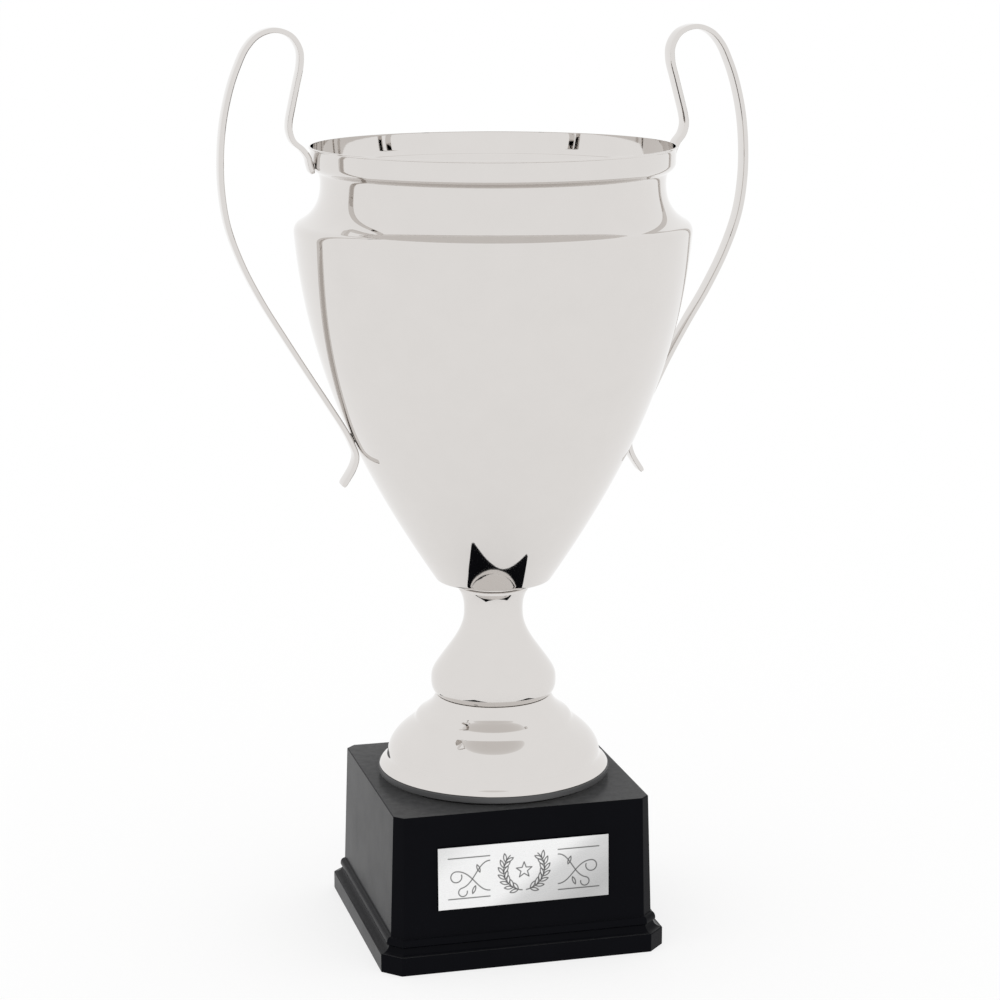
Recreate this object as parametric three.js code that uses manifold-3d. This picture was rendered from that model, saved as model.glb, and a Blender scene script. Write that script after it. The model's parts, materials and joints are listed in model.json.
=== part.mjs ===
// Two-handled cup trophy on a black plinth.
// Millimetres, +Z up. The origin is the centre of the plinth's underside. The plinth's front
// face, which carries the engraving plate, looks along -Y, and the handles lie in the XZ plane.

import * as THREE from 'three';
import { mergeVertices } from 'three/addons/utils/BufferGeometryUtils.js';
import Module from 'manifold-3d';

const wasm = await Module();
wasm.setup();

// ---- Driving dimensions ----

const FACE_GAP = 0.1;        // between flat faces that rest on each other
const FIT_GAP = 0.3;         // around rods, bores and curved faces
const SKIN = 0.8;            // thickness of the spun metal sheet

// Plinth: a drafted block with chamfered corners, a bead, a cove and a plain band at the foot.
const PLINTH_WIDTH = 134.2;  // across the block at the bead, along X
const PLINTH_DEPTH = 126.2;  // the same along Y
const PLINTH_CHAMFER = 5.4;
const PLINTH_TOP = 78.7;
const BLOCK_BASE = 17.5;     // height where the block meets the bead
const BLOCK_DRAFT = 1.9;     // how much each side leans in by the top
const COVE_TOP = 13.8;
const COVE_BASE = 9.4;
const BEAD_OUT = 1.5;        // how far the bead stands out of the block
const BAND_OUT = 5.5;        // how far the band stands out of the block
const PLINTH_WALL = 3;
const REBATE_TOP = 5.2;      // the base board sits in this rebate
const REBATE_OUT = BAND_OUT - PLINTH_WALL;

// Base of the plinth
const FELT_THICK = 1.9;
const BOARD_THICK = 3;
const BOSS_RADIUS = 4.2;
const BOSS_X = 54;
const BOSS_Y = 50;
const SCREW_RADIUS = 1.5;
const SCREW_HEAD_RADIUS = 3;
const SCREW_LENGTH = 14;

// Engraving plate
const PLATE_WIDTH = 87.2;
const PLATE_HEIGHT = 31.7;
const PLATE_THICK = 0.8;
const PLATE_SHIFT = -0.8;    // the plate's centre along X
const PLATE_CENTRE_Z = 46.5;
const PAD_THICK = 0.5;
const PAD_INSET = 2;
const PAD_GAP = 0.2;

// Riser disc between the plinth and the foot
const RISER_RADIUS = 59;
const RISER_TOP = 84;
const RISER_NECK_RADIUS = 54.5;
const RISER_CHAMFER = 2.1;

// Foot: a wide dome with a flared lip, a small dome on it, and a short neck under the stem
const FOOT_LIP_RADIUS = 58.5;
const FOOT_WAIST_RADIUS = 54.3;
const FOOT_STEP_RADIUS = 41.2;
const FOOT_BROW_RADIUS = 38.6;  // where the small dome turns down
const FOOT_SEAT_RADIUS = 33;    // where the small dome meets the neck's fillet
const FOOT_NECK_RADIUS = 30.2;
const FOOT_BASE = RISER_TOP + FACE_GAP;
const FOOT_WAIST = 89.7;
const FOOT_STEP = 107.9;
const FOOT_BROW = 110.9;
const FOOT_SEAT = 113.7;
const FOOT_NECK = 117.8;
const FOOT_TOP = 121.4;

// Stem: a bulb that draws in to a slim waist and flares at the top
const STEM_BASE = FOOT_TOP + FACE_GAP;
const STEM_BASE_RADIUS = 29.4;
const STEM_BULB = 128.3;
const STEM_BULB_RADIUS = 31.8;
const STEM_SLOPE = 146.9;
const STEM_SLOPE_RADIUS = 21.9;
const STEM_WAIST = 164.6;
const STEM_WAIST_RADIUS = 14.9;
const STEM_TOP = 177.3;
const STEM_TOP_RADIUS = 17.7;
const COLLAR_RADIUS = 16.4;

// Bowl
const BOWL_BASE = 180.9;
const BOWL_BASE_RADIUS = 28.9;
const SHOULDER = 356.5;
const SHOULDER_RADIUS = 97.9;
const NECK = 381;
const NECK_RADIUS = 84.7;
const RIM_BAND = 390.8;      // lower edge of the upright band under the rim
const RIM_BAND_RADIUS = 89.3;
const RIM = 398.7;
const RIM_RADIUS = 90;

// Handles: flat bars, bent in the XZ plane
const HANDLE_WIDTH = 9.5;
const HANDLE_THICK = 2.5;
const HANDLE_EDGE = 0.7;
const HANDLE_STEPS = 64;
const LEFT_SPREAD = 2.4;     // the left handle is bent a little wider than the right one
const RIGHT_SPREAD = -2.4;
// Distance from the cup's axis and height, from the rim round to the tail; the third number is
// the share of the spread that the point takes.
const HANDLE_ROUTE = [
  [90.1, 387.2, 0], [91.3, 391.2, 0], [92, 394.6, 0], [94.2, 398.5, 0.2], [97.9, 402.5, 0.5],
  [99.4, 407.2, 0.6], [99.2, 411.6, 0.7], [97.4, 419.5, 0.8], [94.9, 429.5, 0.9], [92.7, 439, 1],
  [93, 446, 1], [97.2, 452.4, 1], [105, 455, 1], [112.8, 452.6, 1], [118.5, 446.8, 1], [122.9, 438, 1],
  [126.5, 428, 1], [130, 413, 1], [131.7, 397, 1], [131.6, 380, 1], [129, 362.5, 1],
  [122.5, 344, 1], [113.2, 325.5, 1], [103, 308.5, 1], [92.4, 290.6, 0.8], [82.2, 272.5, 0.3],
  [75.8, 260.8, 0], [72.1, 253.2, 0], [70.4, 247.8, 0], [71.6, 242.4, 0], [77.2, 233, 0],
];

// Tie rod and its fastenings
const ROD_RADIUS = 3;
const ROD_HOLE = ROD_RADIUS + 0.6;
const ROD_BASE = 52;
const NUT_ACROSS_FLATS = 10;
const NUT_HEIGHT = 5;
const GASKET_RADIUS = 13;
const GASKET_THICK = 1;
const WASHER_RADIUS = 11;
const WASHER_THICK = 1.6;
const SPRING_WASHER_RADIUS = 5.5;
const BUSH_RADIUS = 9;
const BUSH_HEIGHT = 10;
const BALLAST_WIDTH = 96;
const BALLAST_DEPTH = 88;
const BALLAST_THICK = 8;
const BALLAST_WASHER_RADIUS = 14;

const BOWL_SIDES = 48;
const TURNED_SIDES = 36;
const SMALL_SIDES = 16;

// ---- Materials ----

const finish = (color, roughness, metalness) => () =>
  new THREE.MeshStandardMaterial({ color, roughness, metalness });

const polishedSilver = finish(0xdcd8d5, 0.05, 1);
const plateSilver = finish(0xcfcfcf, 0.22, 1);
const blackPlastic = finish(0x0b0b10, 0.2, 0);
const satinPlastic = finish(0x3c3c3e, 0.4, 0);
const steel = finish(0x9a9a98, 0.4, 1);
const greyFibre = finish(0x55504a, 0.9, 0);
const whitePlastic = finish(0xe6e4de, 0.6, 0);
const blackFelt = finish(0x141414, 1, 0);
const foamTape = finish(0xd8d8d0, 0.9, 0);
const brownBoard = finish(0x6b4f38, 0.85, 0);

// ---- Geometry helpers ----

const point = (radius, height) => new THREE.Vector2(radius, height);

// Swaps the winding of a closed mesh whose faces look inwards.
function facingOut(geometry) {
  const mesh = geometry.index ? geometry.toNonIndexed() : geometry;
  const place = mesh.getAttribute('position');
  const [a, b, c] = [new THREE.Vector3(), new THREE.Vector3(), new THREE.Vector3()];
  let volume = 0;
  for (let i = 0; i < place.count; i += 3) {
    a.fromBufferAttribute(place, i);
    b.fromBufferAttribute(place, i + 1);
    c.fromBufferAttribute(place, i + 2);
    volume += a.dot(b.cross(c));
  }
  if (volume < 0) {
    for (let i = 0; i < place.count; i += 3) {
      b.fromBufferAttribute(place, i + 1);
      c.fromBufferAttribute(place, i + 2);
      place.setXYZ(i + 1, c.x, c.y, c.z);
      place.setXYZ(i + 2, b.x, b.y, b.z);
    }
  }
  mesh.computeVertexNormals();
  return mesh;
}

// Joins runs of points end to end and leaves out the repeated ends.
function trace(...runs) {
  const line = [];
  for (const next of runs.flat()) {
    if (line.length === 0 || line[line.length - 1].distanceTo(next) > 1e-4) line.push(next);
  }
  return line;
}

const bezier = (steps, a, b, c, d) => new THREE.CubicBezierCurve(a, b, c, d).getPoints(steps);
const corner = (steps, a, b, c) => new THREE.QuadraticBezierCurve(a, b, c).getPoints(steps);

// Moves a profile sideways by the sheet's thickness, to the left of its direction.
function offsetLine(line, distance) {
  return line.map((here, i) => {
    const before = line[Math.max(i - 1, 0)];
    const after = line[Math.min(i + 1, line.length - 1)];
    const along = after.clone().sub(before).normalize();
    return point(here.x - along.y * distance, here.y + along.x * distance);
  });
}

function turned(profile, sides) {
  const closed = [...profile, profile[0].clone()];
  const geometry = new THREE.LatheGeometry(closed, sides);
  geometry.rotateX(Math.PI / 2);
  return facingOut(geometry);
}

// A spun shell: the outer skin, and the same line moved in by the sheet's thickness.
const spunShell = (outer, sides) => turned([...outer, ...offsetLine(outer, SKIN).reverse()], sides);

function washer(radius, hole, base, thick, sides = SMALL_SIDES) {
  const top = base + thick;
  return turned([point(hole, base), point(radius, base), point(radius, top), point(hole, top)], sides);
}

function hexNut(base) {
  const hexagon = new THREE.Shape();
  const reach = NUT_ACROSS_FLATS / Math.sqrt(3);
  for (let i = 0; i < 6; i += 1) {
    const angle = (i * Math.PI) / 3;
    const place = [reach * Math.cos(angle), reach * Math.sin(angle)];
    if (i === 0) hexagon.moveTo(...place);
    else hexagon.lineTo(...place);
  }
  hexagon.closePath();
  const bore = new THREE.Path();
  bore.absarc(0, 0, ROD_RADIUS + FIT_GAP, 0, 2 * Math.PI, true);
  hexagon.holes.push(bore);
  const options = { depth: NUT_HEIGHT, bevelEnabled: false, curveSegments: SMALL_SIDES / 2 };
  return facingOut(new THREE.ExtrudeGeometry(hexagon, options).translate(0, 0, base));
}

// The plinth's outline, moved out by `out` from the block's foot; the chamfers grow to match.
function plinthOutline(out) {
  const x = PLINTH_WIDTH / 2 + out;
  const y = PLINTH_DEPTH / 2 + out;
  const c = PLINTH_CHAMFER + (2 - Math.SQRT2) * out;
  return [
    [x, -y + c], [x, y - c], [x - c, y], [-x + c, y],
    [-x, y - c], [-x, -y + c], [-x + c, -y], [x - c, -y],
  ];
}

// A closed block through a stack of plinth outlines, given as [height, out] from the bottom.
function stackedBlock(levels) {
  const rings = levels.map(([height, out]) =>
    plinthOutline(out).map(([x, y]) => new THREE.Vector3(x, y, height)));
  const corners = [];
  const sides = rings[0].length;
  for (let level = 0; level + 1 < rings.length; level += 1) {
    for (let i = 0; i < sides; i += 1) {
      const next = (i + 1) % sides;
      const [a, b] = [rings[level][i], rings[level][next]];
      const [c, d] = [rings[level + 1][next], rings[level + 1][i]];
      corners.push(a, b, c, a, c, d);
    }
  }
  const [bottom, top] = [rings[0], rings[rings.length - 1]];
  for (let i = 1; i + 1 < sides; i += 1) {
    corners.push(bottom[0], bottom[i + 1], bottom[i]);
    corners.push(top[0], top[i], top[i + 1]);
  }
  return facingOut(new THREE.BufferGeometry().setFromPoints(corners));
}

function toSolid(geometry) {
  const bare = geometry.clone();
  bare.deleteAttribute('normal');
  bare.deleteAttribute('uv');
  const merged = mergeVertices(bare, 1e-4);
  const vertProperties = new Float32Array(merged.getAttribute('position').array);
  const triVerts = new Uint32Array(merged.index.array);
  return new wasm.Manifold(new wasm.Mesh({ numProp: 3, vertProperties, triVerts }));
}

function fromSolid(solid) {
  const { vertProperties, triVerts } = solid.getMesh();
  const geometry = new THREE.BufferGeometry();
  geometry.setAttribute('position', new THREE.BufferAttribute(vertProperties, 3));
  geometry.setIndex(new THREE.BufferAttribute(triVerts, 1));
  return facingOut(geometry);
}

function named(name, geometry, material) {
  const mesh = new THREE.Mesh(geometry, material());
  mesh.name = name;
  return mesh;
}

// ---- The cup ----

// The bowl's outer skin from the rod hole out along the base, up the wall, round the shoulder,
// in to the neck and out again to the upright band under the rim.
function bowlSkin() {
  const wallFoot = point(BOWL_BASE_RADIUS + 0.8, BOWL_BASE + 1.6);
  const shoulder = point(SHOULDER_RADIUS, SHOULDER);
  const shoulderTop = point(SHOULDER_RADIUS - 2.4, SHOULDER + 5.5);
  const neck = point(NECK_RADIUS, NECK);
  const underBand = point(NECK_RADIUS + 1.6, RIM_BAND - 4.2);
  const band = point(RIM_BAND_RADIUS, RIM_BAND);
  return trace(
    [point(ROD_HOLE, BOWL_BASE)],
    corner(2, point(BOWL_BASE_RADIUS - 2.4, BOWL_BASE), point(BOWL_BASE_RADIUS, BOWL_BASE), wallFoot),
    bezier(11, wallFoot, point(71.3, 244.4), point(SHOULDER_RADIUS - 5.1, SHOULDER - 60), shoulder),
    corner(3, shoulder, point(SHOULDER_RADIUS + 0.3, SHOULDER + 3.8), shoulderTop),
    bezier(5, shoulderTop, point(89.4, 365.4), point(NECK_RADIUS, 370.5), neck),
    corner(2, neck, point(NECK_RADIUS, RIM_BAND - 5.2), underBand),
    corner(3, underBand, point(RIM_BAND_RADIUS - 0.1, RIM_BAND - 2.4), band),
    [point(RIM_RADIUS, RIM)],
  );
}

const bowl = () => named('bowl', spunShell(bowlSkin(), BOWL_SIDES), polishedSilver);

// A flat bar with eased edges, swept along the handle's route on one side of the cup.
function handle(name, side, spread) {
  const [w, t, e] = [HANDLE_WIDTH / 2, HANDLE_THICK / 2, HANDLE_EDGE];
  const section = new THREE.Shape([
    point(w, -t + e), point(w, t - e), point(w - e, t), point(-w + e, t),
    point(-w, t - e), point(-w, -t + e), point(-w + e, -t), point(w - e, -t),
  ]);
  const route = HANDLE_ROUTE.map(([radius, height, share]) =>
    new THREE.Vector3(side * (radius + spread * share), 0, height));
  const extrudePath = new THREE.CatmullRomCurve3(route, false, 'centripetal');
  const bar = new THREE.ExtrudeGeometry(section, { steps: HANDLE_STEPS, extrudePath });
  return named(name, facingOut(bar), polishedSilver);
}

function stem() {
  const waist = point(STEM_WAIST_RADIUS, STEM_WAIST);
  const slope = point(STEM_SLOPE_RADIUS, STEM_SLOPE);
  const bulb = point(STEM_BULB_RADIUS, STEM_BULB);
  const top = point(STEM_TOP_RADIUS, STEM_TOP - 0.5);
  const skin = trace(
    [point(ROD_HOLE, STEM_BASE)],
    [point(STEM_BASE_RADIUS - 0.8, STEM_BASE)],
    bezier(4, point(STEM_BASE_RADIUS, STEM_BASE + 0.3), point(30.6, 122.8), point(31.8, 125), bulb),
    bezier(4, bulb, point(STEM_BULB_RADIUS, 133.7), point(31.1, 134.3), slope),
    bezier(5, slope, point(16, 155.1), point(STEM_WAIST_RADIUS, 160), waist),
    bezier(4, waist, point(STEM_WAIST_RADIUS, 168.4), point(15.6, 172.6), top),
    [point(STEM_TOP_RADIUS - 0.5, STEM_TOP)],
    [point(ROD_HOLE, STEM_TOP)],
  );
  return named('stem', spunShell(skin, TURNED_SIDES), polishedSilver);
}

function stemCollar() {
  const base = STEM_TOP + FACE_GAP;
  const thick = BOWL_BASE - FACE_GAP - base;
  return named('stem_collar', washer(COLLAR_RADIUS, ROD_HOLE, base, thick, 32), polishedSilver);
}

function foot() {
  const lip = point(FOOT_LIP_RADIUS, FOOT_BASE);
  const waist = point(FOOT_WAIST_RADIUS, FOOT_WAIST);
  const step = point(FOOT_STEP_RADIUS, FOOT_STEP);
  const brow = point(FOOT_BROW_RADIUS, FOOT_BROW);
  const seat = point(FOOT_SEAT_RADIUS, FOOT_SEAT);
  const neck = point(FOOT_NECK_RADIUS, FOOT_NECK);
  const skin = trace(
    [lip],
    bezier(3, point(FOOT_LIP_RADIUS, FOOT_BASE + 0.4), point(57.4, 86.6), point(54.5, 87.3), waist),
    bezier(7, waist, point(FOOT_WAIST_RADIUS, 99.9), point(41.7, 105.5), step),
    bezier(3, step, point(40.8, 109.1), point(39.9, 109.7), brow),
    bezier(2, brow, point(37.1, 112.5), point(35.2, 113.1), seat),
    bezier(2, seat, point(31, 114.5), point(30.4, 115.5), neck),
    [point(FOOT_NECK_RADIUS - 0.7, FOOT_TOP - 0.4), point(FOOT_NECK_RADIUS - 1.2, FOOT_TOP)],
    [point(ROD_HOLE, FOOT_TOP)],
  );
  return named('foot', spunShell(skin, TURNED_SIDES), polishedSilver);
}

function riserDisc() {
  const base = PLINTH_TOP + FACE_GAP;
  const profile = [
    point(ROD_HOLE, base), point(RISER_NECK_RADIUS, base),
    point(RISER_RADIUS, base + RISER_CHAMFER), point(RISER_RADIUS, RISER_TOP),
    point(ROD_HOLE, RISER_TOP),
  ];
  return named('riser_disc', turned(profile, BOWL_SIDES), satinPlastic);
}

// ---- Tie rod and fastenings ----

const GASKET_BASE = BOWL_BASE + SKIN + FACE_GAP;
const BOWL_WASHER_BASE = GASKET_BASE + GASKET_THICK + FACE_GAP;
const BOWL_NUT_BASE = BOWL_WASHER_BASE + WASHER_THICK + FACE_GAP;
const BALLAST_BASE = PLINTH_TOP - PLINTH_WALL - FACE_GAP - BALLAST_THICK;
const BALLAST_WASHER_BASE = BALLAST_BASE - FACE_GAP - WASHER_THICK;
const SPRING_WASHER_BASE = BALLAST_WASHER_BASE - FACE_GAP - WASHER_THICK;
const BASE_NUT_BASE = SPRING_WASHER_BASE - FACE_GAP - NUT_HEIGHT;

function tieRod() {
  const top = BOWL_NUT_BASE + NUT_HEIGHT + 2;
  const rod = new THREE.CylinderGeometry(ROD_RADIUS, ROD_RADIUS, top - ROD_BASE, SMALL_SIDES);
  rod.rotateX(Math.PI / 2).translate(0, 0, (top + ROD_BASE) / 2);
  return named('tie_rod', facingOut(rod), steel);
}

function fastenings() {
  const bore = ROD_RADIUS + FIT_GAP;
  return [
    named('bowl_gasket', washer(GASKET_RADIUS, bore, GASKET_BASE, GASKET_THICK), greyFibre),
    named('bowl_washer', washer(WASHER_RADIUS, bore, BOWL_WASHER_BASE, WASHER_THICK), steel),
    named('bowl_nut', hexNut(BOWL_NUT_BASE), steel),
    named('stem_bush', washer(BUSH_RADIUS, bore, STEM_BASE + SKIN + FACE_GAP, BUSH_HEIGHT), whitePlastic),
    named('ballast_washer',
      washer(BALLAST_WASHER_RADIUS, bore, BALLAST_WASHER_BASE, WASHER_THICK), steel),
    named('spring_washer',
      washer(SPRING_WASHER_RADIUS, bore, SPRING_WASHER_BASE, WASHER_THICK), steel),
    named('base_nut', hexNut(BASE_NUT_BASE), steel),
  ];
}

function ballastPlate() {
  const plate = new THREE.BoxGeometry(BALLAST_WIDTH, BALLAST_DEPTH, BALLAST_THICK);
  plate.translate(0, 0, BALLAST_BASE + BALLAST_THICK / 2);
  const hole = new THREE.CylinderGeometry(ROD_HOLE, ROD_HOLE, 3 * BALLAST_THICK, SMALL_SIDES);
  hole.rotateX(Math.PI / 2).translate(0, 0, BALLAST_BASE);
  return named('ballast_plate', fromSolid(toSolid(plate).subtract(toSolid(hole))), steel);
}

// ---- Plinth ----

// Heights and overhangs of the plinth's outside, from the floor to the top edge.
function plinthLevels() {
  const coveSteps = 5;
  const levels = [[0, BAND_OUT], [COVE_BASE - 0.4, BAND_OUT]];
  for (let i = 0; i <= coveSteps; i += 1) {
    const angle = (i / coveSteps) * (Math.PI / 2);
    const height = COVE_TOP - (COVE_TOP - COVE_BASE) * Math.cos(angle);
    levels.push([height, BAND_OUT - 0.2 - (BAND_OUT - 0.2 - BEAD_OUT) * Math.sin(angle)]);
  }
  const beadTop = BLOCK_BASE - COVE_TOP;
  for (const [rise, out] of [[0.5, 1], [0.8, 0.8], [1, 0]]) {
    levels.push([COVE_TOP + rise * beadTop, out * BEAD_OUT]);
  }
  levels.push([PLINTH_TOP - 0.5, -BLOCK_DRAFT], [PLINTH_TOP, -BLOCK_DRAFT - 0.4]);
  return levels;
}

const bossCentres = [[-1, -1], [1, -1], [1, 1], [-1, 1]].map(([x, y]) => [x * BOSS_X, y * BOSS_Y]);

function upright(radius, base, top, x, y) {
  const pin = new THREE.CylinderGeometry(radius, radius, top - base, SMALL_SIDES);
  return toSolid(pin.rotateX(Math.PI / 2).translate(x, y, (base + top) / 2));
}

function plinth() {
  const inside = [
    [-1, REBATE_OUT], [REBATE_TOP, REBATE_OUT], [REBATE_TOP + 0.01, -PLINTH_WALL],
    [PLINTH_TOP - PLINTH_WALL, -PLINTH_WALL - BLOCK_DRAFT],
  ];
  let body = toSolid(stackedBlock(plinthLevels())).subtract(toSolid(stackedBlock(inside)));
  body = body.subtract(upright(ROD_HOLE, PLINTH_TOP - 10, PLINTH_TOP + 10, 0, 0));
  for (const [x, y] of bossCentres) {
    body = body.add(upright(BOSS_RADIUS, REBATE_TOP, PLINTH_TOP - PLINTH_WALL / 2, x, y));
    body = body.subtract(upright(SCREW_RADIUS + FIT_GAP, 0, SCREW_LENGTH + 4, x, y));
  }
  return named('plinth', fromSolid(body), blackPlastic);
}

const BOARD_BASE = FELT_THICK + FACE_GAP;

// A countersunk screw, or the hole that it needs when `grown` by a fit gap.
function screwBlank(x, y, grown) {
  const profile = [
    point(0, BOARD_BASE - grown), point(SCREW_HEAD_RADIUS + grown, BOARD_BASE - grown),
    point(SCREW_HEAD_RADIUS + grown, BOARD_BASE + 0.3),
    point(SCREW_RADIUS + grown, BOARD_BASE + 1.9), point(SCREW_RADIUS + grown, SCREW_LENGTH),
    point(0, SCREW_LENGTH + 1),
  ];
  const geometry = new THREE.LatheGeometry(profile, SMALL_SIDES).rotateX(Math.PI / 2);
  return facingOut(geometry.translate(x, y, 0));
}

function baseBoard() {
  const levels = [[BOARD_BASE, REBATE_OUT - FIT_GAP], [BOARD_BASE + BOARD_THICK, REBATE_OUT - FIT_GAP]];
  let board = toSolid(stackedBlock(levels));
  for (const [x, y] of bossCentres) board = board.subtract(toSolid(screwBlank(x, y, FIT_GAP)));
  return named('base_board', fromSolid(board), brownBoard);
}

const baseScrews = () => bossCentres.map(([x, y], i) =>
  named(`base_screw_${i + 1}`, screwBlank(x, y, 0), steel));

const baseFelt = () => named('base_felt',
  stackedBlock([[0, REBATE_OUT - FIT_GAP], [FELT_THICK, REBATE_OUT - FIT_GAP]]), blackFelt);

// The plate and its pad lie on the front face, which leans back with the block's draft.
function engravingPlate() {
  const lean = Math.atan(BLOCK_DRAFT / (PLINTH_TOP - BLOCK_BASE));
  const rise = PLATE_CENTRE_Z - BLOCK_BASE;
  const group = new THREE.Group();
  const padFace = PAD_GAP + PAD_THICK;
  const pad = new THREE.BoxGeometry(PLATE_WIDTH - 2 * PAD_INSET, PAD_THICK, PLATE_HEIGHT - 2 * PAD_INSET);
  const plate = new THREE.BoxGeometry(PLATE_WIDTH, PLATE_THICK, PLATE_HEIGHT);
  pad.translate(0, -PAD_GAP - PAD_THICK / 2, 0);
  plate.translate(0, -padFace - FACE_GAP - PLATE_THICK / 2, 0);
  group.add(named('plate_adhesive_pad', facingOut(pad), foamTape));
  group.add(named('engraving_plate', facingOut(plate), plateSilver));
  group.position.set(PLATE_SHIFT, -PLINTH_DEPTH / 2 + rise * Math.tan(lean), PLATE_CENTRE_Z);
  group.rotation.x = -lean;
  return group;
}

const trophy = new THREE.Group();
trophy.add(bowl(), handle('left_handle', -1, LEFT_SPREAD), handle('right_handle', 1, RIGHT_SPREAD));
trophy.add(stemCollar(), stem(), foot(), riserDisc());
trophy.add(tieRod(), ...fastenings(), ballastPlate());
trophy.add(plinth(), engravingPlate(), baseBoard(), ...baseScrews(), baseFelt());

export default trophy;
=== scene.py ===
"""Two-handled cup trophy on a black plinth: smooth metal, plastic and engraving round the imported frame."""

import json
import math

import bmesh
import bpy
import numpy as np
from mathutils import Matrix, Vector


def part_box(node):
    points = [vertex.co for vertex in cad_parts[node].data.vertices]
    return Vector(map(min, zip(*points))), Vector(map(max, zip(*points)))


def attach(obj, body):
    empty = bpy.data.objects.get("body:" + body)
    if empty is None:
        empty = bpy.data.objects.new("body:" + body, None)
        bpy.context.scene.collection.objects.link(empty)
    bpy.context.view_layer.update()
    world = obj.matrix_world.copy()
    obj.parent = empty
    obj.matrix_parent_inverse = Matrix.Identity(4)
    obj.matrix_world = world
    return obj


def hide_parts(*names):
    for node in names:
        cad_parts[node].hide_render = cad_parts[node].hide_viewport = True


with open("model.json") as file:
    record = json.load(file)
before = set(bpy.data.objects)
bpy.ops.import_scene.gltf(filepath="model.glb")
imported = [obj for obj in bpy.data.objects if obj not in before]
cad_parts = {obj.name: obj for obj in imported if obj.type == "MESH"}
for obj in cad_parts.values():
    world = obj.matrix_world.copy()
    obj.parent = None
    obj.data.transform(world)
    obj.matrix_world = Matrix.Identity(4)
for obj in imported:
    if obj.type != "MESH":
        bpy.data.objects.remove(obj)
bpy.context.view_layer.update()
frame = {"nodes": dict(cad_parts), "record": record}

MM = 0.001  # lengths below are in millimetres where a name or comment says so, and metres elsewhere

# ---- Measures that the frame doesn't hold ----

SHEET = 0.8            # mm, thickness of the spun metal
TURNED_SIDES = 256     # steps round the large turned pieces
SMALL_SIDES = 64       # steps round washers, nuts and the rod
ROD_HOLE = 3.6         # mm, radius of the hole for the tie rod

CAMERA_DISTANCE = 1.2745    # from the cup's axis, level
CAMERA_HEIGHT = 0.4997
CAMERA_AZIMUTH = -14.486    # degrees round the cup, from its front
CAMERA_HEADING = -14.638
CAMERA_PITCH = -12.323
CAMERA_LENS = 93.37

FLOOR_TONE = 0.3            # the share of the light that the floor gives back
FLOOR_GLOW = 0.7            # the floor's own light, which makes it as bright as the sky


# ---- Outlines ----

def bezier(steps, a, b, c, d):
    """Points of a cubic curve, both ends included."""
    run = []
    for i in range(steps + 1):
        t = i / steps
        weights = ((1 - t) ** 3, 3 * t * (1 - t) ** 2, 3 * t * t * (1 - t), t ** 3)
        run.append(tuple(sum(w * p[k] for w, p in zip(weights, (a, b, c, d))) for k in (0, 1)))
    return run


def corner(steps, a, b, c):
    """Points of a rounded corner that starts at a, is drawn towards b and ends at c."""
    run = []
    for i in range(steps + 1):
        t = i / steps
        weights = ((1 - t) ** 2, 2 * t * (1 - t), t * t)
        run.append(tuple(sum(w * p[k] for w, p in zip(weights, (a, b, c))) for k in (0, 1)))
    return run


def arc(steps, centre, radius, start, end):
    """Points of an arc between two angles in degrees."""
    run = []
    for i in range(steps + 1):
        angle = math.radians(start + (end - start) * i / steps)
        run.append((centre[0] + radius * math.cos(angle), centre[1] + radius * math.sin(angle)))
    return run


def joined(*runs):
    """Runs of points end to end, without the repeated ends."""
    line = []
    for run in runs:
        for p in run:
            if not line or math.dist(line[-1], p) > 1e-4:
                line.append(p)
    return line


def densified(line, longest):
    """The same line with no stretch longer than `longest`."""
    fine = [line[0]]
    for a, b in zip(line, line[1:]):
        parts = max(1, math.ceil(math.dist(a, b) / longest))
        for i in range(1, parts + 1):
            t = i / parts
            fine.append((a[0] + (b[0] - a[0]) * t, a[1] + (b[1] - a[1]) * t))
    return fine


def inner_skin(line, thickness):
    """The line moved to its left by the sheet's thickness, without the points that fold over."""
    points = np.array(line)
    along = np.gradient(points, axis=0)
    along /= np.linalg.norm(along, axis=1)[:, None]
    moved = points + np.stack([-along[:, 1], along[:, 0]], axis=1) * thickness
    gaps = np.linalg.norm(moved[:, None] - points[None], axis=2).min(axis=1)
    return [tuple(p) for p, gap in zip(moved, gaps) if gap > 0.97 * thickness]


def shell(outer):
    """A closed outline of sheet metal: the outer skin and the inner one back again."""
    fine = densified(outer, 1.5)
    return fine + inner_skin(fine, SHEET)[::-1]


# ---- Meshes ----

def finished(name, mesh, slot, stands_for=(), sharp=35):
    """Turns a bmesh in metres into a piece that rides on the body."""
    bmesh.ops.recalc_face_normals(mesh, faces=mesh.faces)
    data = bpy.data.meshes.new(name)
    mesh.to_mesh(data)
    mesh.free()
    data.shade_smooth()
    data.set_sharp_from_angle(angle=math.radians(sharp))
    piece = bpy.data.objects.new(name, data)
    bpy.context.scene.collection.objects.link(piece)
    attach(piece, "root")
    if stands_for:
        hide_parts(*stands_for)
    data.materials.append(MATERIALS[slot])
    return piece


def loft(mesh, rings, closed=True, capped=False):
    """Faces between rings of points, all with the same count. Closed rings join the last to the first."""
    made = [[mesh.verts.new(p) for p in ring] for ring in rings]
    pairs = list(zip(made, made[1:] + made[:1])) if closed else list(zip(made, made[1:]))
    for here, after in pairs:
        for i in range(len(here)):
            j = (i + 1) % len(here)
            mesh.faces.new((here[i], here[j], after[j], after[i]))
    if capped:
        mesh.faces.new(made[0][::-1])
        mesh.faces.new(made[-1])
    return made


def circle(radius, height, sides, centre=(0, 0)):
    """A level ring of points, in metres, from a radius and a height in metres."""
    ring = []
    for i in range(sides):
        angle = 2 * math.pi * i / sides
        ring.append((centre[0] + radius * math.cos(angle), centre[1] + radius * math.sin(angle), height))
    return ring


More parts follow.
